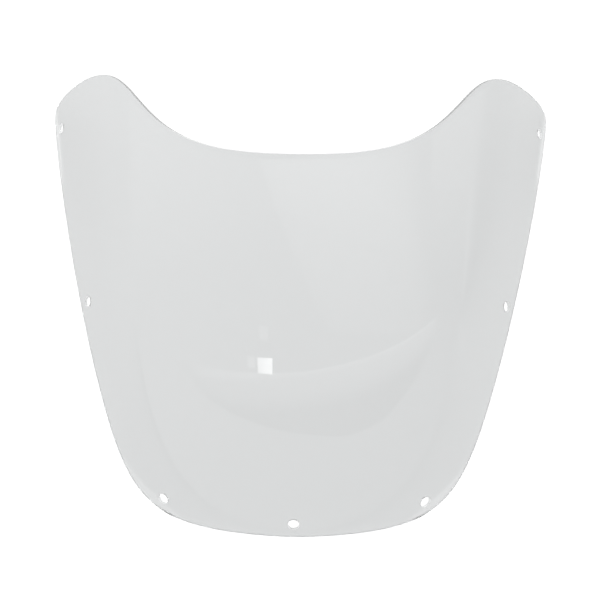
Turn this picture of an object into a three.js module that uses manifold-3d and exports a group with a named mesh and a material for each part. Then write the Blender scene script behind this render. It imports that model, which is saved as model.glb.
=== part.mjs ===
// A clear motorcycle windscreen: one sheet of acrylic, cut to outline, drawn into a double-curved
// shell and drilled with seven fixing holes. Millimetres, +Z up.
//
// The screen lies on a table with its convex face up, standing on the ears and on the lower corners.
// X runs across it, -Y is the nose end and +Y is the end with the two ears. The origin is on the
// table, under the middle of the screen's outline.
import * as THREE from "three";
import { mergeVertices } from "three/addons/utils/BufferGeometryUtils.js";
import Module from "manifold-3d";

// ---- Driving dimensions ----

const SHEET_THICKNESS = 2.2;

// The centre line of the convex face, seen from the side: a gentle straight rise, below which it
// droops towards the nose with the fourth power of the distance from STRAIGHT_END_Y.
const CROWN_HEIGHT = 146.69;
const CROWN_SLOPE = 0.03;
const STRAIGHT_END_Y = 205;
const NOSE_DROOP = 124.5;

// The cross-section is a barrel that flares from the nose towards the ears.
const BARREL_RADIUS = 155.7; // at Y = 0
const BARREL_FLARE = 0.126; // growth of the radius per millimetre of Y
const BARREL_FULLNESS = 0.576; // 0 is a parabola, 1 is close to a circle

// The free edge between the ears turns up into a narrow lip, which fades out on the ears.
const LIP_WIDTH = 5;
const LIP_RISE = 1.1;
const LIP_FULL_TO_X = 120;
const LIP_GONE_AT_X = 180;

// Half of the outline in plan, from the nose over the side to the middle of the free edge. Each
// anchor has its point, the heading of the edge there in degrees, and the lengths of the two
// handles that shape the curve before and after it.
const NOSE = { x: 0, y: -189, heading: 0, before: 0, after: 20.5 };
const LOWER_CORNER = { x: 94.5, y: -170.5, heading: 28, before: 33, after: 30.5 };
const SIDE_FOOT = { x: 140.5, y: -113.5, heading: 68, before: 22.5, after: 63.5 };
const EAR_SIDE = { x: 211.5, y: 179.5, heading: 90, before: 31.5, after: 6 };
const EAR_PEAK = { x: 198.5, y: 188, heading: 180, before: 6.5, after: 43 };
const EAR_FOOT = { x: 125, y: 135, heading: 236, before: 32, after: 37 };
const FREE_EDGE = { x: 0, y: 67, heading: 180, before: 75.5, after: 0 };

// The fixing holes, in plan. All but the nose hole have a twin on the other side.
const HOLE_DIAMETER = 8.5;
const NOSE_HOLE = { x: 0, y: -181.6 };
const PAIRED_HOLES = [
  { x: 100.5, y: -159.3 },
  { x: 166, y: -6.1 },
  { x: 203.5, y: 160.4 },
];
// Each hole has a flat round seat for a washer, a hair proud of the curved faces.
const SEAT_DIAMETER = 16;
const SEAT_PROUD_OUTSIDE = 0.1;
const SEAT_PROUD_INSIDE = 0.3;
const ROUND_SEGMENTS = 24;

// The mesh: cells along each stretch of the half outline, and rows of cells in the lip.
const CELLS_EAR_TIP = 5;
const CELLS_EAR_FLANK = 7;
const CELLS_SCALLOP = 9;
const CELLS_LOWER_CORNER = 8;
const CELLS_SIDE = 20;
const LIP_ROWS = 2;
const CELLS_HALF_WIDTH = CELLS_EAR_TIP + CELLS_EAR_FLANK + CELLS_SCALLOP;
const CELLS_ACROSS = 2 * CELLS_HALF_WIDTH;
const CELLS_ALONG = CELLS_LOWER_CORNER + CELLS_SIDE;

const COLOURLESS_ACRYLIC = { color: 0xdfe3e4, roughness: 0.06, metalness: 0, opacity: 0.35 };

// ---- Outline in plan ----

const vectorAt = (degrees, length) =>
  new THREE.Vector2(length, 0).rotateAround(
    new THREE.Vector2(),
    THREE.MathUtils.degToRad(degrees),
  );

// Evenly spaced points of the smooth edge from one anchor to the next, both ends included.
function edgeBetween(from, to, steps) {
  const start = new THREE.Vector2(from.x, from.y);
  const end = new THREE.Vector2(to.x, to.y);
  const curve = new THREE.CubicBezierCurve(
    start,
    start.clone().add(vectorAt(from.heading, from.after)),
    end.clone().sub(vectorAt(to.heading, to.before)),
    end,
  );
  return curve.getSpacedPoints(steps);
}

// One row of points from edges that follow on from each other.
const chain = (first, ...others) => [...first, ...others.flatMap((edge) => edge.slice(1))];

const mirrored = (point) => new THREE.Vector2(-point.x, point.y);

// A full edge from left to right, made from its right half, which starts on the centre line.
const fullEdge = (rightHalf) => [...rightHalf.slice(1).map(mirrored).reverse(), ...rightHalf];

const noseEdge = fullEdge(edgeBetween(NOSE, LOWER_CORNER, CELLS_HALF_WIDTH));
const rightSide = chain(
  edgeBetween(LOWER_CORNER, SIDE_FOOT, CELLS_LOWER_CORNER),
  edgeBetween(SIDE_FOOT, EAR_SIDE, CELLS_SIDE),
);
const leftSide = rightSide.map(mirrored);
const rightFreeEdge = chain(
  edgeBetween(EAR_SIDE, EAR_PEAK, CELLS_EAR_TIP),
  edgeBetween(EAR_PEAK, EAR_FOOT, CELLS_EAR_FLANK),
  edgeBetween(EAR_FOOT, FREE_EDGE, CELLS_SCALLOP),
);
const freeEdge = fullEdge(rightFreeEdge.reverse());

// ---- The convex face ----

// How far a plan point lies inside the free edge; negative beyond it.
function distanceInsideFreeEdge(x, y) {
  let nearest = Infinity;
  for (let i = 1; i < freeEdge.length; i++) {
    const along = freeEdge[i].clone().sub(freeEdge[i - 1]);
    const offset = new THREE.Vector2(x, y).sub(freeEdge[i - 1]);
    const share = THREE.MathUtils.clamp(offset.dot(along) / along.lengthSq(), 0, 1);
    const gap = offset.clone().addScaledVector(along, -share);
    const distance = gap.length() * Math.sign(offset.cross(along) || 1);
    if (Math.abs(distance) < Math.abs(nearest)) nearest = distance;
  }
  return nearest;
}

// The lip rises as a parabola over its width.
function lipRise(x, y) {
  const fade = 1 - THREE.MathUtils.smoothstep(Math.abs(x), LIP_FULL_TO_X, LIP_GONE_AT_X);
  if (fade === 0) return 0;
  const intoLip = LIP_WIDTH - distanceInsideFreeEdge(x, y);
  return intoLip > 0 ? LIP_RISE * fade * (intoLip / LIP_WIDTH) ** 2 : 0;
}

function crownHeight(y) {
  const towardsNose = (STRAIGHT_END_Y - y) / (STRAIGHT_END_Y - NOSE.y);
  return CROWN_HEIGHT + CROWN_SLOPE * y - NOSE_DROOP * towardsNose ** 4;
}

// How far the barrel has fallen below the crown at a distance x from the centre line.
function barrelDrop(x, y) {
  const radius = BARREL_RADIUS + BARREL_FLARE * y;
  const ratio = (x / radius) ** 2;
  return radius * (ratio / 2 + (BARREL_FULLNESS * ratio ** 2) / 8);
}

const convexHeight = (x, y) => crownHeight(y) - barrelDrop(x, y) + lipRise(x, y);

const convexPoint = (x, y) => new THREE.Vector3(x, y, convexHeight(x, y));

function convexNormal(x, y) {
  const step = 0.2;
  const alongX = convexPoint(x + step, y).sub(convexPoint(x - step, y));
  const alongY = convexPoint(x, y + step).sub(convexPoint(x, y - step));
  return alongX.cross(alongY).normalize();
}

// ---- The sheet as a closed shell ----

// Where each row of cells lies, from 0 at the nose to 1 at the free edge.
function rowShares() {
  const lipShare = LIP_WIDTH / (FREE_EDGE.y - NOSE.y);
  const body = Array.from({ length: CELLS_ALONG - LIP_ROWS + 1 }, (_, row) =>
    (row / (CELLS_ALONG - LIP_ROWS)) * (1 - lipShare),
  );
  const lip = Array.from({ length: LIP_ROWS }, (_, row) =>
    1 - lipShare * (1 - (row + 1) / LIP_ROWS),
  );
  return [...body, ...lip];
}

// The point of an edge at a share of its length.
function alongEdge(points, share) {
  const place = share * (points.length - 1);
  const index = Math.min(Math.floor(place), points.length - 2);
  return points[index].clone().lerp(points[index + 1], place - index);
}

// The plan point at (across, along), blended from the four edges: a Coons patch.
function planPoint(across, along) {
  const nose = alongEdge(noseEdge, across);
  const free = alongEdge(freeEdge, across);
  const left = alongEdge(leftSide, along);
  const right = alongEdge(rightSide, along);
  const betweenEnds = nose.lerp(free, along);
  const betweenSides = left.lerp(right, across);
  const noseCorners = noseEdge[0].clone().lerp(noseEdge.at(-1), across);
  const earCorners = freeEdge[0].clone().lerp(freeEdge.at(-1), across);
  return betweenEnds.add(betweenSides).sub(noseCorners.lerp(earCorners, along));
}

// A cell's corners, anticlockwise. A cell is split from its first corner to its third, so the
// left half starts one corner later and mirrors the right half.
function cellCorners(row, column) {
  const corners = [
    [row, column],
    [row, column + 1],
    [row + 1, column + 1],
    [row + 1, column],
  ];
  return column < CELLS_HALF_WIDTH ? [...corners.slice(1), corners[0]] : corners;
}

function sheetGeometry() {
  const positions = [];
  const rows = rowShares();
  const columns = CELLS_ACROSS + 1;
  for (const along of rows) {
    for (let column = 0; column < columns; column++) {
      const { x, y } = planPoint(column / CELLS_ACROSS, along);
      const outside = convexPoint(x, y);
      const inside = outside.clone().addScaledVector(convexNormal(x, y), -SHEET_THICKNESS);
      positions.push(...outside.toArray(), ...inside.toArray());
    }
  }
  const outer = (row, column) => 2 * (row * columns + column);
  const inner = (row, column) => outer(row, column) + 1;

  const triangles = [];
  const quad = (a, b, c, d) => triangles.push(a, b, c, a, c, d);
  for (let row = 0; row < rows.length - 1; row++) {
    for (let column = 0; column < CELLS_ACROSS; column++) {
      const [a, b, c, d] = cellCorners(row, column);
      quad(outer(...a), outer(...b), outer(...c), outer(...d));
      quad(inner(...a), inner(...d), inner(...c), inner(...b));
    }
  }
  const lastRow = rows.length - 1;
  const rim = [
    ...Array.from({ length: CELLS_ACROSS }, (_, i) => [0, i]),
    ...Array.from({ length: lastRow }, (_, i) => [i, CELLS_ACROSS]),
    ...Array.from({ length: CELLS_ACROSS }, (_, i) => [lastRow, CELLS_ACROSS - i]),
    ...Array.from({ length: lastRow }, (_, i) => [lastRow - i, 0]),
  ];
  rim.forEach((here, i) => {
    const next = rim[(i + 1) % rim.length];
    quad(outer(...here), inner(...here), inner(...next), outer(...next));
  });
  return new THREE.BufferGeometry()
    .setAttribute("position", new THREE.Float32BufferAttribute(positions, 3))
    .setIndex(triangles);
}

// ---- Fixing holes ----

// A cylinder square to the sheet at a plan point, between two depths below the convex face.
function cylinderThrough({ x, y }, diameter, top, bottom) {
  const normal = convexNormal(x, y);
  const turn = new THREE.Quaternion().setFromUnitVectors(new THREE.Vector3(0, 1, 0), normal);
  const middle = convexPoint(x, y).addScaledVector(normal, -(top + bottom) / 2);
  const shape = new THREE.CylinderGeometry(diameter / 2, diameter / 2, bottom - top, ROUND_SEGMENTS);
  return shape.applyQuaternion(turn).translate(...middle.toArray());
}

const holes = [NOSE_HOLE, ...PAIRED_HOLES, ...PAIRED_HOLES.map(({ x, y }) => ({ x: -x, y }))];

const seatGeometry = (hole) =>
  cylinderThrough(
    hole,
    SEAT_DIAMETER,
    -SEAT_PROUD_OUTSIDE,
    SHEET_THICKNESS + SEAT_PROUD_INSIDE,
  );

const drillGeometry = (hole) =>
  cylinderThrough(hole, HOLE_DIAMETER, -SHEET_THICKNESS, 2 * SHEET_THICKNESS);

// ---- Joining and cutting ----

const wasm = await Module();
wasm.setup();

function toSolid(geometry) {
  const bare = geometry.clone();
  bare.deleteAttribute("normal");
  bare.deleteAttribute("uv");
  const merged = mergeVertices(bare, 1e-4);
  return new wasm.Manifold(
    new wasm.Mesh({
      numProp: 3,
      vertProperties: merged.attributes.position.array,
      triVerts: new Uint32Array(merged.index.array),
    }),
  );
}

function toGeometry(solid) {
  const { vertProperties, triVerts } = solid.getMesh();
  const geometry = new THREE.BufferGeometry()
    .setAttribute("position", new THREE.BufferAttribute(vertProperties, 3))
    .setIndex(new THREE.BufferAttribute(triVerts, 1));
  geometry.computeVertexNormals();
  return geometry;
}

function windscreenPanel() {
  let panel = toSolid(sheetGeometry());
  for (const hole of holes) panel = panel.add(toSolid(seatGeometry(hole)));
  for (const hole of holes) panel = panel.subtract(toSolid(drillGeometry(hole)));
  const material = new THREE.MeshStandardMaterial({ ...COLOURLESS_ACRYLIC, transparent: true });
  const mesh = new THREE.Mesh(toGeometry(panel), material);
  mesh.name = "windscreen_panel";
  return mesh;
}

const windshieldScreen = new THREE.Group();
windshieldScreen.add(windscreenPanel());

export default windshieldScreen;
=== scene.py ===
"""A clear motorcycle windscreen, lying convex side up on a light table in a small photo studio.

The sheet's shape is worked out in millimetres, from the driving dimensions that the CAD part has
too, and is turned into metres when its mesh is made. The studio and the camera are in metres.
"""

import math
from collections import namedtuple

import bpy
import numpy as np
from mathutils import Matrix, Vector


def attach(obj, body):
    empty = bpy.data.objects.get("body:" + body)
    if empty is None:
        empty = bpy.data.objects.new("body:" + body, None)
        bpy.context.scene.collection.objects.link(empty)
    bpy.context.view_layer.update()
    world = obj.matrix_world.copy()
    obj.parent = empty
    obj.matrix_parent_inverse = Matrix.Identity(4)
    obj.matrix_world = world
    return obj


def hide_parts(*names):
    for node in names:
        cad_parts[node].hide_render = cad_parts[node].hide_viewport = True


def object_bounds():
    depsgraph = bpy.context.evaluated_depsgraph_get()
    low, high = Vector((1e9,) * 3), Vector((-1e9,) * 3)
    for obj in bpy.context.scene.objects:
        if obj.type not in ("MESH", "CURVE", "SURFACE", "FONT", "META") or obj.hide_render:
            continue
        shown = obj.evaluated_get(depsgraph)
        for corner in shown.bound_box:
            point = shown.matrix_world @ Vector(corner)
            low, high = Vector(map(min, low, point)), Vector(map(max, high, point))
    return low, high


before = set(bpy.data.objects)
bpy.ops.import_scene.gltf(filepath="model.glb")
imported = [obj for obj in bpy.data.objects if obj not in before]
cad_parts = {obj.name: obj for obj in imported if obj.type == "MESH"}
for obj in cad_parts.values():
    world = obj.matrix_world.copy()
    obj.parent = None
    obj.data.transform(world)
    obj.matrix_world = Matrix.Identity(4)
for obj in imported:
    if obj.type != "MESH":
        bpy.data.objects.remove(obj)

cad_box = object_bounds()
MILLIMETRE = 0.001

# ---- The sheet's driving dimensions, in millimetres ----

SHEET_THICKNESS = 2.2

CROWN_HEIGHT = 146.85  # 0.16 above the CAD part's, as this finer mesh reaches lower at its ears
CROWN_SLOPE = 0.03
STRAIGHT_END_Y = 205
NOSE_DROOP = 124.5

BARREL_RADIUS = 155.7
BARREL_FLARE = 0.126
BARREL_FULLNESS = 0.576

LIP_WIDTH = 5
LIP_RISE = 1.1
LIP_FULL_TO_X = 120
LIP_GONE_AT_X = 180

# An anchor of the outline in plan. Its heading is in degrees, and its two handles are the lengths
# that the curve leans on before and after it.
Anchor = namedtuple("Anchor", "x y heading before after")

# The outline's right half, from the nose round the ear to the middle of the free edge.
NOSE = Anchor(0, -189, 0, 0, 20.5)
LOWER_CORNER = Anchor(94.5, -170.5, 28, 33, 30.5)
SIDE_FOOT = Anchor(140.5, -113.5, 68, 22.5, 63.5)
EAR_SIDE = Anchor(211.5, 179.5, 90, 31.5, 6)
EAR_PEAK = Anchor(198.5, 188, 180, 6.5, 43)
EAR_FOOT = Anchor(125, 135, 236, 32, 37)
FREE_EDGE = Anchor(0, 67, 180, 75.5, 0)

HOLE_DIAMETER = 8.5
NOSE_HOLE = (0, -181.6)
PAIRED_HOLES = [(100.5, -159.3), (166, -6.1), (203.5, 160.4)]

# ---- The fine mesh, in millimetres ----

CURVE_POINTS = 80  # from one anchor to the next
CELLS_ACROSS = 216
CELLS_ALONG = 168
HOLE_MARGIN = 1.2  # the plain mesh starts this far outside a hole
HOLE_RINGS = 3
EDGE_ROUNDING = 0.55  # radius of the rim's two edges
HOLE_ROUNDING = 0.25  # radius of the holes' edges
ROUNDING_STEPS = 4
SLOPE_STEP = 0.2  # half the distance over which the face's slope is measured


# ---- The convex face ----


def towards(heading):
    """The plan direction of a heading in degrees."""
    angle = math.radians(heading)
    return np.array([math.cos(angle), math.sin(angle)])


def bezier(start, end):
    """Points of the smooth edge between two outline anchors."""
    first = np.array([start.x, start.y], float)
    last = np.array([end.x, end.y], float)
    after_first = first + start.after * towards(start.heading)
    before_last = last - end.before * towards(end.heading)
    t = np.linspace(0, 1, CURVE_POINTS)[:, None]
    return (
        (1 - t) ** 3 * first
        + 3 * (1 - t) ** 2 * t * after_first
        + 3 * (1 - t) * t**2 * before_last
        + t**3 * last
    )


def edge_through(anchors):
    """Points of the outline through several anchors, without doubled joints."""
    pieces = [bezier(a, b) for a, b in zip(anchors, anchors[1:])]
    return np.concatenate([pieces[0]] + [piece[1:] for piece in pieces[1:]])


def mirrored(points):
    """Plan points on the other side of the centre line."""
    return points * [-1, 1]


def full_edge(right_half):
    """An edge from left to right, made from its right half, which starts on the centre line."""
    return np.concatenate([mirrored(right_half)[:0:-1], right_half])


NOSE_EDGE = full_edge(edge_through([NOSE, LOWER_CORNER]))
RIGHT_SIDE = edge_through([LOWER_CORNER, SIDE_FOOT, EAR_SIDE])
UPPER_EDGE = full_edge(edge_through([EAR_SIDE, EAR_PEAK, EAR_FOOT, FREE_EDGE])[::-1])


def distance_inside_upper_edge(x, y):
    """How far plan points lie inside the ears' and the free edge's outline; negative beyond it."""
    a_trifle = 1e-12  # so that a point in line with a stretch of the outline is on one of its sides
    starts, along = UPPER_EDGE[:-1], np.diff(UPPER_EDGE, axis=0)
    offset = np.stack([x, y], -1)[:, None] - starts
    share = np.clip((offset * along).sum(-1) / (along**2).sum(-1), 0, 1)
    gap = offset - share[..., None] * along
    side = np.sign(offset[..., 0] * along[:, 1] - offset[..., 1] * along[:, 0] + a_trifle)
    distance = np.hypot(gap[..., 0], gap[..., 1])
    nearest = distance.argmin(axis=1)
    rows = np.arange(len(nearest))
    return distance[rows, nearest] * side[rows, nearest]


def smooth_step(value, low, high):
    """Goes from 0 at a low value to 1 at a high one, level at both ends."""
    t = np.clip((value - low) / (high - low), 0, 1)
    return t * t * (3 - 2 * t)


def lip_rise(x, y):
    """The narrow lip along the free edge rises as a parabola over its width."""
    rise = np.zeros_like(x)
    near = (np.abs(x) < LIP_GONE_AT_X) & (y > FREE_EDGE.y - LIP_WIDTH)
    into_lip = np.clip(LIP_WIDTH - distance_inside_upper_edge(x[near], y[near]), 0, None)
    fade = 1 - smooth_step(np.abs(x[near]), LIP_FULL_TO_X, LIP_GONE_AT_X)
    rise[near] = LIP_RISE * fade * (into_lip / LIP_WIDTH) ** 2
    return rise


def convex_points(plan):
    """The points of the convex face over plan points."""
    x, y = plan[:, 0], plan[:, 1]
    share_to_nose = (STRAIGHT_END_Y - y) / (STRAIGHT_END_Y - NOSE.y)
    crown = CROWN_HEIGHT + CROWN_SLOPE * y - NOSE_DROOP * share_to_nose**4
    radius = BARREL_RADIUS + BARREL_FLARE * y
    ratio = (x / radius) ** 2
    drop = radius * (ratio / 2 + BARREL_FULLNESS * ratio**2 / 8)
    return np.stack([x, y, crown - drop + lip_rise(x, y)], -1)


def unit(vectors):
    """The same directions at length 1."""
    return vectors / np.linalg.norm(vectors, axis=-1, keepdims=True)


def convex_normals(plan):
    """The directions square to the convex face over plan points."""
    right, back = [SLOPE_STEP, 0], [0, SLOPE_STEP]
    along_x = convex_points(plan + right) - convex_points(plan - right)
    along_y = convex_points(plan + back) - convex_points(plan - back)
    return unit(np.cross(along_x, along_y))


# ---- The grid that covers the sheet ----


def spaced(edge, cells):
    """Plan points of an edge, evenly spaced along it on the convex face."""
    lengths = np.linalg.norm(np.diff(convex_points(edge), axis=0), axis=1)
    travelled = np.concatenate([[0], np.cumsum(lengths)])
    wanted = np.linspace(0, travelled[-1], cells + 1)
    return np.stack([np.interp(wanted, travelled, edge[:, axis]) for axis in (0, 1)], -1)


def plan_grid():
    """Plan points in rows from nose to free edge, blended from the four edges: a Coons patch."""
    nose, upper = spaced(NOSE_EDGE, CELLS_ACROSS), spaced(UPPER_EDGE, CELLS_ACROSS)
    right = spaced(RIGHT_SIDE, CELLS_ALONG)
    left = mirrored(right)
    across = np.linspace(0, 1, CELLS_ACROSS + 1)[None, :, None]
    along = np.linspace(0, 1, CELLS_ALONG + 1)[:, None, None]
    between_ends = (1 - along) * nose[None] + along * upper[None]
    between_sides = (1 - across) * left[:, None] + across * right[:, None]
    nose_corners = (1 - across) * nose[0] + across * nose[-1]
    ear_corners = (1 - across) * upper[0] + across * upper[-1]
    return between_ends + between_sides - (1 - along) * nose_corners - along * ear_corners


class Sheet:
    """The mesh as it grows. A node is one plan place with a vertex on each face of the sheet."""

    def __init__(self):
        self.plan = []
        self.quads = []
        self.loops = []

    def add_nodes(self, plan):
        first = sum(len(part) for part in self.plan)
        self.plan.append(plan)
        return np.arange(first, first + len(plan))


def block_round(points, centre):
    """The lowest and highest row and column of a block of cells that clears a hole all round."""
    gaps = np.linalg.norm(points - centre, axis=-1)
    needed = HOLE_DIAMETER / 2 + HOLE_ROUNDING + HOLE_MARGIN
    row, column = np.unravel_index(gaps.argmin(), gaps.shape)
    bottom, top, left, right = row - 1, row + 1, column - 1, column + 1
    while True:
        tight = [
            gaps[bottom, left : right + 1].min() < needed,
            gaps[top, left : right + 1].min() < needed,
            gaps[bottom : top + 1, left].min() < needed,
            gaps[bottom : top + 1, right].min() < needed,
        ]
        if not any(tight):
            return bottom, top, left, right
        bottom, top = bottom - tight[0], top + tight[1]
        left, right = left - tight[2], right + tight[3]


def block_loop(bottom, top, left, right):
    """The rows and columns of the nodes round a block, clockwise from above."""
    upwards = [(row, left) for row in range(bottom, top)]
    rightwards = [(top, column) for column in range(left, right)]
    downwards = [(row, right) for row in range(top, bottom, -1)]
    leftwards = [(bottom, column) for column in range(right, left, -1)]
    return tuple(np.array(upwards + rightwards + downwards + leftwards).T)


def hole_circle(centre, around):
    """Plan points of a round hole's edge on the convex face, one towards each point around it."""
    normal = convex_normals(centre)[0]
    middle = convex_points(centre)[0]
    outwards = around - middle
    outwards = unit(outwards - normal * (outwards @ normal)[:, None])
    return (middle + (HOLE_DIAMETER / 2 + HOLE_ROUNDING) * outwards)[:, :2]


def add_hole(sheet, grid, points, ids, cut, centre):
    """Replaces the cells round a hole by rings that go from its circle to the grid."""
    centre = np.array([centre], float)
    bottom, top, left, right = block_round(points, convex_points(centre)[0])
    cut[bottom:top, left:right] = True
    loop = block_loop(bottom, top, left, right)
    circle = hole_circle(centre, points[loop])
    rings = [
        sheet.add_nodes(circle + share * (grid[loop] - circle))
        for share in np.linspace(0, 1, HOLE_RINGS + 1)[:-1]
    ]
    rings.append(ids[loop])
    for inner, outer in zip(rings, rings[1:]):
        sheet.quads.append(np.stack([inner, np.roll(inner, -1), np.roll(outer, -1), outer], -1))
    sheet.loops.append((rings[0], HOLE_ROUNDING))


def sheet_topology():
    """The sheet's nodes, the quads of its convex face and its edge loops."""
    sheet = Sheet()
    grid = plan_grid()
    ids = sheet.add_nodes(grid.reshape(-1, 2)).reshape(grid.shape[:2])
    points = convex_points(grid.reshape(-1, 2)).reshape(*ids.shape, 3)
    cut = np.zeros((CELLS_ALONG, CELLS_ACROSS), bool)
    holes = [NOSE_HOLE] + PAIRED_HOLES + [(-x, y) for x, y in PAIRED_HOLES]
    for centre in holes:
        add_hole(sheet, grid, points, ids, cut, centre)
    cells = np.stack([ids[:-1, :-1], ids[:-1, 1:], ids[1:, 1:], ids[1:, :-1]], -1)
    sheet.quads.append(cells[~cut])
    rim = np.concatenate([ids[0, :-1], ids[:-1, -1], ids[-1, :0:-1], ids[:0:-1, 0]])
    sheet.loops.append((rim, EDGE_ROUNDING))
    return sheet


def edge_section(rounding):
    """An edge's section: rows of depth below the convex face, bulge, and the normal's two parts.

    The face's own nodes come before the first row and after the last. The concave face's edge
    has one step less, as its last one goes straight to the face.
    """
    angles = np.linspace(0, math.pi / 2, ROUNDING_STEPS + 1)[1:]
    upper = [
        (rounding * (1 - math.cos(a)), rounding * math.sin(a), math.cos(a), math.sin(a))
        for a in angles
    ]
    lower = [(SHEET_THICKNESS - depth, bulge, -up, out) for depth, bulge, up, out in upper]
    return upper + lower[:0:-1]


def away_from_material(points, normals):
    """The directions that leave the sheet at an edge loop, which has the sheet on its left."""
    along = np.roll(points, -1, axis=0) - np.roll(points, 1, axis=0)
    return unit(np.cross(along, normals))


def inset_rim(plan, rim):
    """Moves the rim's nodes inwards, so that its rounded edge reaches the outline itself."""
    points = convex_points(plan[rim])
    outward = away_from_material(points, convex_normals(plan[rim]))
    plan[rim] = (points - EDGE_ROUNDING * outward)[:, :2]


def band(rows):
    """Quads between rows of vertices that go round an edge loop."""
    return [
        np.stack([upper, lower, np.roll(lower, -1), np.roll(upper, -1)], -1)
        for upper, lower in zip(rows, rows[1:])
    ]


def make_windscreen(face_material, edge_material):
    """The sheet: its two faces, and the rounded edges of its rim and holes."""
    sheet = sheet_topology()
    plan = np.concatenate(sheet.plan)
    inset_rim(plan, sheet.loops[-1][0])
    convex, up = convex_points(plan), convex_normals(plan)
    nodes = len(plan)
    vertices = [convex, convex - SHEET_THICKNESS * up]
    normals = [up, -up]
    face_quads = np.concatenate(sheet.quads)
    edge_quads = []
    used = 2 * nodes
    for loop, rounding in sheet.loops:
        outward = away_from_material(convex[loop], up[loop])
        rows = [loop]
        for depth, bulge, upward, out in edge_section(rounding):
            vertices.append(convex[loop] - depth * up[loop] + bulge * outward)
            normals.append(unit(upward * up[loop] + out * outward))
            rows.append(np.arange(used, used + len(loop)))
            used += len(loop)
        rows.append(loop + nodes)
        edge_quads += band(rows)
    edge_quads = np.concatenate(edge_quads)
    quads = np.concatenate([face_quads, face_quads[:, ::-1] + nodes, edge_quads])
    mesh = bpy.data.meshes.new("windscreen_sheet")
    mesh.from_pydata((np.concatenate(vertices) * MILLIMETRE).tolist(), [], quads.tolist())
    mesh.materials.append(face_material)
    mesh.materials.append(edge_material)
    is_edge = np.arange(len(quads)) >= 2 * len(face_quads)
    mesh.polygons.foreach_set("material_index", is_edge.astype(np.int32))
    mesh.polygons.foreach_set("use_smooth", np.ones(len(quads), bool))
    mesh.normals_split_custom_set_from_vertices(np.concatenate(normals).tolist())
    mesh.update()
    return add_object("windscreen_sheet", mesh)


# ---- Materials ----

WHITE = (1, 1, 1, 1)
NOISE_RANGE = (0.35, 0.65)  # most of a noise pattern lies between these

ACRYLIC_IOR = 1.49
ACRYLIC_TINT = (0.641, 0.650, 0.6515, 1)
ACRYLIC_ROUGHNESS = (0.015, 0.045)
HAZE_SCALE, HAZE_DETAIL = 24, 2
WAVE_SCALE, WAVE_DETAIL = 14, 1
WAVE_HEIGHT = 0.00004

CUT_TINT = (0.93, 0.94, 0.94, 1)
CUT_TRANSMISSION = 0.5
CUT_IOR = 1.2
# Painted glow: the cut edges give off a little light, standing in for light the sheet pipes in.
CUT_PAINTED_GLOW = 0.1
CUT_ROUGHNESS = (0.30, 0.45)
SCUFF_SCALE, SCUFF_DETAIL = 900, 3
SCRATCH_SCALE, SCRATCH_DETAIL = 1600, 2
SCRATCH_HEIGHT = 0.00005


def add_object(name, data):
    made = bpy.data.objects.new(name, data)
    bpy.context.scene.collection.objects.link(made)
    return made


def new_material(name):
    """A material with its node tree and the shader in it."""
    material = bpy.data.materials.new(name)
    material.use_nodes = True
    return material, material.node_tree, material.node_tree.nodes["Principled BSDF"]


def noise(tree, scale, detail):
    """A noise pattern whose features are about 1 / scale metres across."""
    place = tree.nodes.new("ShaderNodeTexCoord")
    pattern = tree.nodes.new("ShaderNodeTexNoise")
    pattern.inputs["Scale"].default_value = scale
    pattern.inputs["Detail"].default_value = detail
    tree.links.new(place.outputs["Object"], pattern.inputs["Vector"])
    return pattern.outputs["Fac"]


def vary(tree, pattern, limits, socket):
    """Drives a shader socket between two limits by a pattern."""
    spread = tree.nodes.new("ShaderNodeMapRange")
    spread.inputs["From Min"].default_value = NOISE_RANGE[0]
    spread.inputs["From Max"].default_value = NOISE_RANGE[1]
    spread.inputs["To Min"].default_value = limits[0]
    spread.inputs["To Max"].default_value = limits[1]
    tree.links.new(pattern, spread.inputs["Value"])
    tree.links.new(spread.outputs["Result"], socket)


def ripple(tree, pattern, height, shader):
    """Lets a pattern lift the surface by a height in metres."""
    bump = tree.nodes.new("ShaderNodeBump")
    bump.inputs["Strength"].default_value = 1.0
    bump.inputs["Distance"].default_value = height
    tree.links.new(pattern, bump.inputs["Height"])
    tree.links.new(bump.outputs["Normal"], shader.inputs["Normal"])


def clear_acrylic():
    """Polished, clear sheet with the faint long waves that forming it over a mould leaves."""
    material, tree, shader = new_material("clear_acrylic")
    shader.inputs["Base Color"].default_value = ACRYLIC_TINT
    shader.inputs["Transmission Weight"].default_value = 1.0
    shader.inputs["IOR"].default_value = ACRYLIC_IOR
    haze = noise(tree, HAZE_SCALE, HAZE_DETAIL)
    vary(tree, haze, ACRYLIC_ROUGHNESS, shader.inputs["Roughness"])
    ripple(tree, noise(tree, WAVE_SCALE, WAVE_DETAIL), WAVE_HEIGHT, shader)
    return material


def cut_acrylic():
    """Routed rim and drilled holes: scratched, with a painted glow standing in for piped light."""
    material, tree, shader = new_material("cut_acrylic")
    shader.inputs["Base Color"].default_value = CUT_TINT
    shader.inputs["Transmission Weight"].default_value = CUT_TRANSMISSION
    shader.inputs["IOR"].default_value = CUT_IOR
    shader.inputs["Emission Color"].default_value = WHITE
    # Painted glow on the cut edges, standing in for light piped in from the sheet.
    shader.inputs["Emission Strength"].default_value = CUT_PAINTED_GLOW
    scuffs = noise(tree, SCUFF_SCALE, SCUFF_DETAIL)
    vary(tree, scuffs, CUT_ROUGHNESS, shader.inputs["Roughness"])
    ripple(tree, noise(tree, SCRATCH_SCALE, SCRATCH_DETAIL), SCRATCH_HEIGHT, shader)
    return material


def glow(name):
    """A material that only gives off light, with its node tree and the node that sets how much."""
    material = bpy.data.materials.new(name)
    material.use_nodes = True
    tree = material.node_tree
    tree.nodes.clear()
    shine = tree.nodes.new("ShaderNodeEmission")
    out = tree.nodes.new("ShaderNodeOutputMaterial")
    tree.links.new(shine.outputs["Emission"], out.inputs["Surface"])
    return material, tree, shine


# ---- The studio ----

# Light is given as radiance. A ramp's stops are places and the values there.
RIGHTWARDS, BACKWARDS, UPWARDS = (1, 0, 0), (0, 1, 0), (0, 0, 1)

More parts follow.
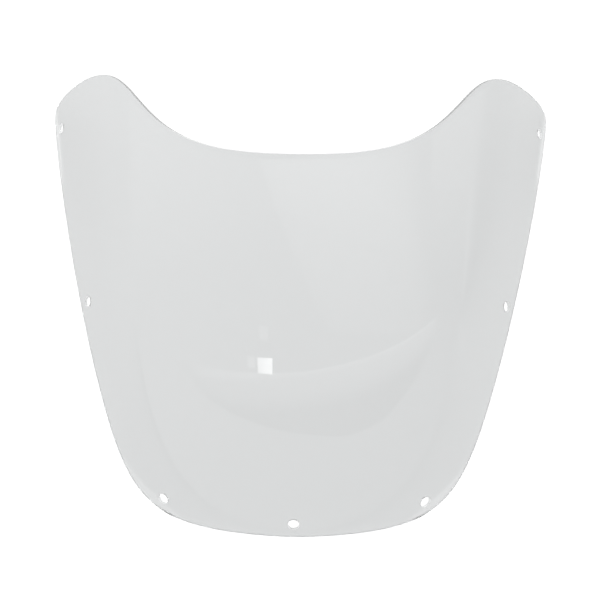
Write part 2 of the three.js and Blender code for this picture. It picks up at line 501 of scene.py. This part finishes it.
# The room's light by the direction it comes from, as a unit vector's X and Y. The two add up.
ROOM_ACROSS = [(-1, 0.84), (-0.75, 0.7), (-0.4, 0.58), (0, 0.53), (1, 0.47)]
ROOM_BACKWARDS = [(-1, 0), (0.05, 0), (0.35, 0.22), (1, 0.3)]

TABLE_GLOW = 1.04
TABLE_HALF_WIDTH = 8.5
TABLE_REFLECTANCE = 0.2
TABLE_ROUGHNESS = 0.9
TABLE_GAP = 0.0005  # from the table up to the sheet's lowest point


def ramp(tree, place, stops):
    """Turns a node's place into a value, in straight lines between stops of place and value."""
    places, values = zip(*stops)
    scaled = tree.nodes.new("ShaderNodeMapRange")
    scaled.inputs["From Min"].default_value = places[0]
    scaled.inputs["From Max"].default_value = places[-1]
    curve = tree.nodes.new("ShaderNodeFloatCurve")
    points = curve.mapping.curves[0].points
    while len(points) < len(stops):
        points.new(0.5, 0.5)
    lowest, highest = min(values), max(values)
    for point, at, value in zip(points, places, values):
        share = (at - places[0]) / (places[-1] - places[0])
        point.location = (share, (value - lowest) / (highest - lowest))
        point.handle_type = "VECTOR"
    curve.mapping.update()
    result = tree.nodes.new("ShaderNodeMapRange")
    result.inputs["To Min"].default_value = lowest
    result.inputs["To Max"].default_value = highest
    tree.links.new(place, scaled.inputs["Value"])
    tree.links.new(scaled.outputs["Result"], curve.inputs["Value"])
    tree.links.new(curve.outputs["Value"], result.inputs["Value"])
    return result.outputs["Result"]


def combine(tree, operation, first, second):
    """The sum or the product of a node's value and another's, or a number."""
    step = tree.nodes.new("ShaderNodeMath")
    step.operation = operation
    tree.links.new(first, step.inputs[0])
    if isinstance(second, (int, float)):
        step.inputs[1].default_value = second
    else:
        tree.links.new(second, step.inputs[1])
    return step.outputs["Value"]


def make_room():
    """Light from all round, which is stronger at the left and the back."""
    world = bpy.data.worlds.new("studio_room")
    world.use_nodes = True
    bpy.context.scene.world = world
    tree = world.node_tree
    direction = tree.nodes.new("ShaderNodeTexCoord")
    parts = tree.nodes.new("ShaderNodeSeparateXYZ")
    tree.links.new(direction.outputs["Generated"], parts.inputs["Vector"])
    across = ramp(tree, parts.outputs["X"], ROOM_ACROSS)
    backwards = ramp(tree, parts.outputs["Y"], ROOM_BACKWARDS)
    light = combine(tree, "ADD", across, backwards)
    tree.nodes["Background"].inputs["Color"].default_value = WHITE
    tree.links.new(light, tree.nodes["Background"].inputs["Strength"])


def rectangle(x_span, y_span):
    """The corners of a rectangle, from what it spans along two axes."""
    (left, right), (front, back) = x_span, y_span
    return [(left, front), (right, front), (right, back), (left, back)]


def level_mesh(name, outline, height):
    """A flat face at a height, from its outline in plan."""
    mesh = bpy.data.meshes.new(name)
    mesh.from_pydata([(x, y, height) for x, y in outline], [], [tuple(range(len(outline)))])
    return mesh


def lit_white_plastic():
    """The light table's top, which glows evenly, so that no shadow shows on it."""
    material, _, shader = new_material("lit_white_plastic")
    shader.inputs["Base Color"].default_value = (TABLE_REFLECTANCE,) * 3 + (1,)
    shader.inputs["Roughness"].default_value = TABLE_ROUGHNESS
    shader.inputs["Specular IOR Level"].default_value = 0.0
    shader.inputs["Emission Color"].default_value = WHITE
    shader.inputs["Emission Strength"].default_value = TABLE_GLOW
    return material


def make_table(height):
    span = (-TABLE_HALF_WIDTH, TABLE_HALF_WIDTH)
    mesh = level_mesh("light_table", rectangle(span, span), height)
    mesh.materials.append(lit_white_plastic())
    add_object("light_table", mesh)


def card(mesh):
    """Adds a lit panel that shows in reflections, but not to the camera.

    It gives back the node tree of the panel's light and the node that sets how much there is.
    """
    material, tree, shine = glow(mesh.name)
    mesh.materials.append(material)
    made = add_object(mesh.name, mesh)
    made.visible_camera = False
    return tree, shine


def level_card(name, outline, height):
    """Adds a level card, from its outline in plan."""
    return card(level_mesh(name, outline, height))


def place_along(tree, direction):
    """How far each point of a card lies along a direction of the room, in metres."""
    place = tree.nodes.new("ShaderNodeNewGeometry")
    measure = tree.nodes.new("ShaderNodeVectorMath")
    measure.operation = "DOT_PRODUCT"
    measure.inputs[1].default_value = direction
    tree.links.new(place.outputs["Position"], measure.inputs[0])
    return measure.outputs["Value"]


def even(panel, light):
    """Gives a card the same light all over."""
    _, shine = panel
    shine.inputs["Strength"].default_value = light


def graded(panel, base, swell, window):
    """Gives a card the light base + swell x window, which are each a direction and its stops."""
    tree, shine = panel
    swelling = ramp(tree, place_along(tree, swell[0]), swell[1])
    opening = ramp(tree, place_along(tree, window[0]), window[1])
    light = combine(tree, "ADD", combine(tree, "MULTIPLY", swelling, opening), base)
    tree.links.new(light, shine.inputs["Strength"])


CEILING = 1.6
LAMP_HEIGHT = CEILING - 0.01

# The lamp, brighter to the right, with the light it spills beside it and its faint second image.
LAMP = [(-0.75, -1.33), (-0.45, -1.33), (-0.43, -1.09), (-0.727, -1.09)]
LAMP_BASE = 2.8
LAMP_SWELL = (RIGHTWARDS, [(-0.75, 0), (-0.66, 1), (-0.56, 1.8), (-0.43, 1.8)])
LAMP_WINDOW = (BACKWARDS, [(-1.33, 0.8), (-1.27, 1), (-1.09, 1)])
SPILL = rectangle((-0.95, -0.78), (-1.25, -1.08))
SPILL_LIGHT = 1.15
GHOST = rectangle((-0.64, -0.48), (-0.86, -0.7))
GHOST_LIGHT = 0.98


def make_lamp():
    graded(level_card("lamp", LAMP, LAMP_HEIGHT), LAMP_BASE, LAMP_SWELL, LAMP_WINDOW)
    even(level_card("lamp_spill", SPILL, LAMP_HEIGHT), SPILL_LIGHT)
    even(level_card("lamp_ghost", GHOST, LAMP_HEIGHT), GHOST_LIGHT)


# The long reflector over the nose: bright along its back edge, and dark along its front.
REFLECTOR_BACK = [(9, -0.22), (3.6, -0.86), (0.06, -1.29), (-4.2, -1.49)]
REFLECTOR_FRONT = [(-2.9, -2.13), (0.1, -2.75), (1.6, -3.06), (3.1, -2.9), (7, -1.37), (9, -0.9)]
REFLECTOR_BASE = 0.48
REFLECTOR_SWELL = (
    (-0.12, 1, 0),
    [(-3.3, -0.4), (-2.1, -0.38), (-1.7, 0.12), (-1.38, 0.3), (-1.29, 0.75), (-1, 0.75)],
)
REFLECTOR_WINDOW = (
    RIGHTWARDS,
    [(-4.2, 0), (-2.5, 0.6), (0.5, 0.9), (2.5, 1), (7, 0.7), (9, 0)],
)


def make_reflector():
    outline = REFLECTOR_BACK + REFLECTOR_FRONT
    reflector = level_card("long_reflector", outline, CEILING)
    graded(reflector, REFLECTOR_BASE, REFLECTOR_SWELL, REFLECTOR_WINDOW)


# The overhead panel, whose slanting left edge shows as a line down the sheet.
OVERHEAD = [(-0.6, 0.56), (0.58, -0.77), (4.5, -0.77), (4.5, 2.5), (-0.6, 2.5)]
OVERHEAD_BASE = 0.5
OVERHEAD_SWELL = (
    BACKWARDS,
    [(-0.8, 0.12), (-0.2, 0.25), (0.1, 0.33), (0.5, 0.66), (2.5, 0.66)],
)
OVERHEAD_WINDOW = (
    (0.75, 0.66, 0),
    [(-0.08, 0.72), (0.15, 0.98), (0.6, 1), (1.1, 0.85), (2.1, 0.5), (3.4, 0)],
)


def make_overhead_panel():
    panel = level_card("overhead_panel", OVERHEAD, CEILING)
    graded(panel, OVERHEAD_BASE, OVERHEAD_SWELL, OVERHEAD_WINDOW)


# The grey flag that stands at the right.
FLAG_X = 8
FLAG_FRONT, FLAG_BACK = -2.1, 2.7
FLAG_TOP = 3.7
FLAG_BASE = 0.5
FLAG_SWELL = (BACKWARDS, [(FLAG_FRONT, 0), (0.3, -0.14), (0.9, -0.12), (FLAG_BACK, 0.12)])
FLAG_WINDOW = (UPWARDS, [(0, 1), (1.9, 1), (FLAG_TOP, 0)])


def make_flag():
    corners = rectangle((FLAG_FRONT, FLAG_BACK), (0, FLAG_TOP))
    mesh = bpy.data.meshes.new("side_flag")
    mesh.from_pydata([(FLAG_X, y, z) for y, z in corners], [], [(0, 1, 2, 3)])
    graded(card(mesh), FLAG_BASE, FLAG_SWELL, FLAG_WINDOW)


# The grey surround on the table, with an opening that clears the sheet: its right half, from the
# nose to the back. The sheet's steep sides reflect it, and the darker strip at its right.
CARD_LIFT = 0.001
OPENING = [
    (0, -0.225),
    (0.1, -0.21),
    (0.138, -0.18),
    (0.172, -0.09),
    (0.216, 0.13),
    (0.216, 0.225),
    (0, 0.225),
]
SURROUND_REACH = 40  # times the opening
SURROUND_SWELL = (BACKWARDS, [(-1, 0.5), (-0.3, 0.76), (0.05, 1), (0.3, 1.03), (1, 1.03)])
SURROUND_WINDOW = (RIGHTWARDS, [(-0.5, 0.86), (0.4, 0.65)])
STRIP_LEFT, STRIP_RIGHT = 0.3, 7.9
STRIP_FRONT, STRIP_BACK = -0.1, 0.6
STRIP_BASE = 0.65
STRIP_SWELL = (BACKWARDS, [(STRIP_FRONT, 0), (0.16, -0.36), (STRIP_BACK, 0)])
STRIP_WINDOW = (RIGHTWARDS, [(STRIP_LEFT, 0), (0.45, 0.5), (0.8, 1), (STRIP_RIGHT, 1)])


def make_surround(table_height):
    height = table_height + CARD_LIFT
    opening = OPENING + [(-x, y) for x, y in OPENING[-2:0:-1]]
    inner = [(x, y, height) for x, y in opening]
    outer = [(x * SURROUND_REACH, y * SURROUND_REACH, height) for x, y in opening]
    count = len(opening)
    faces = [(i, (i + 1) % count, (i + 1) % count + count, i + count) for i in range(count)]
    mesh = bpy.data.meshes.new("surround")
    mesh.from_pydata(inner + outer, [], faces)
    graded(card(mesh), 0, SURROUND_SWELL, SURROUND_WINDOW)
    outline = rectangle((STRIP_LEFT, STRIP_RIGHT), (STRIP_FRONT, STRIP_BACK))
    strip = level_card("dark_strip", outline, height + CARD_LIFT)
    graded(strip, STRIP_BASE, STRIP_SWELL, STRIP_WINDOW)


# ---- The camera ----

CAMERA_DISTANCE = 1.15
CAMERA_HEIGHT_ANGLE = 68.106  # degrees above the table, from the nose's side
CAMERA_TURN = 0.446  # degrees
CAMERA_ROLL = 0.69  # degrees
CAMERA_LENS = 84.79  # millimetres, as the sensor's width
CAMERA_SENSOR = 36
CAMERA_AIM = (0, 0, 0.00148)
CAMERA_OFFSET = (0.0022, 0.0092)  # rightwards and upwards in the picture


def make_camera():
    data = bpy.data.cameras.new("camera")
    data.lens = CAMERA_LENS
    data.sensor_width = CAMERA_SENSOR
    camera = add_object("camera", data)
    camera.matrix_world = (
        Matrix.Translation(CAMERA_AIM)
        @ Matrix.Rotation(math.radians(90 - CAMERA_HEIGHT_ANGLE), 4, "X")
        @ Matrix.Rotation(math.radians(CAMERA_TURN), 4, "Y")
        @ Matrix.Rotation(math.radians(CAMERA_ROLL), 4, "Z")
        @ Matrix.Translation((*CAMERA_OFFSET, CAMERA_DISTANCE))
    )
    bpy.context.scene.camera = camera


# ---- The scene ----

bpy.context.scene.view_settings.view_transform = "Standard"
make_camera()
make_room()
table_height = cad_box[0].z - TABLE_GAP
make_table(table_height)
make_lamp()
make_reflector()
make_overhead_panel()
make_flag()
make_surround(table_height)
windscreen = make_windscreen(clear_acrylic(), cut_acrylic())
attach(windscreen, "root")
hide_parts("windscreen_panel")
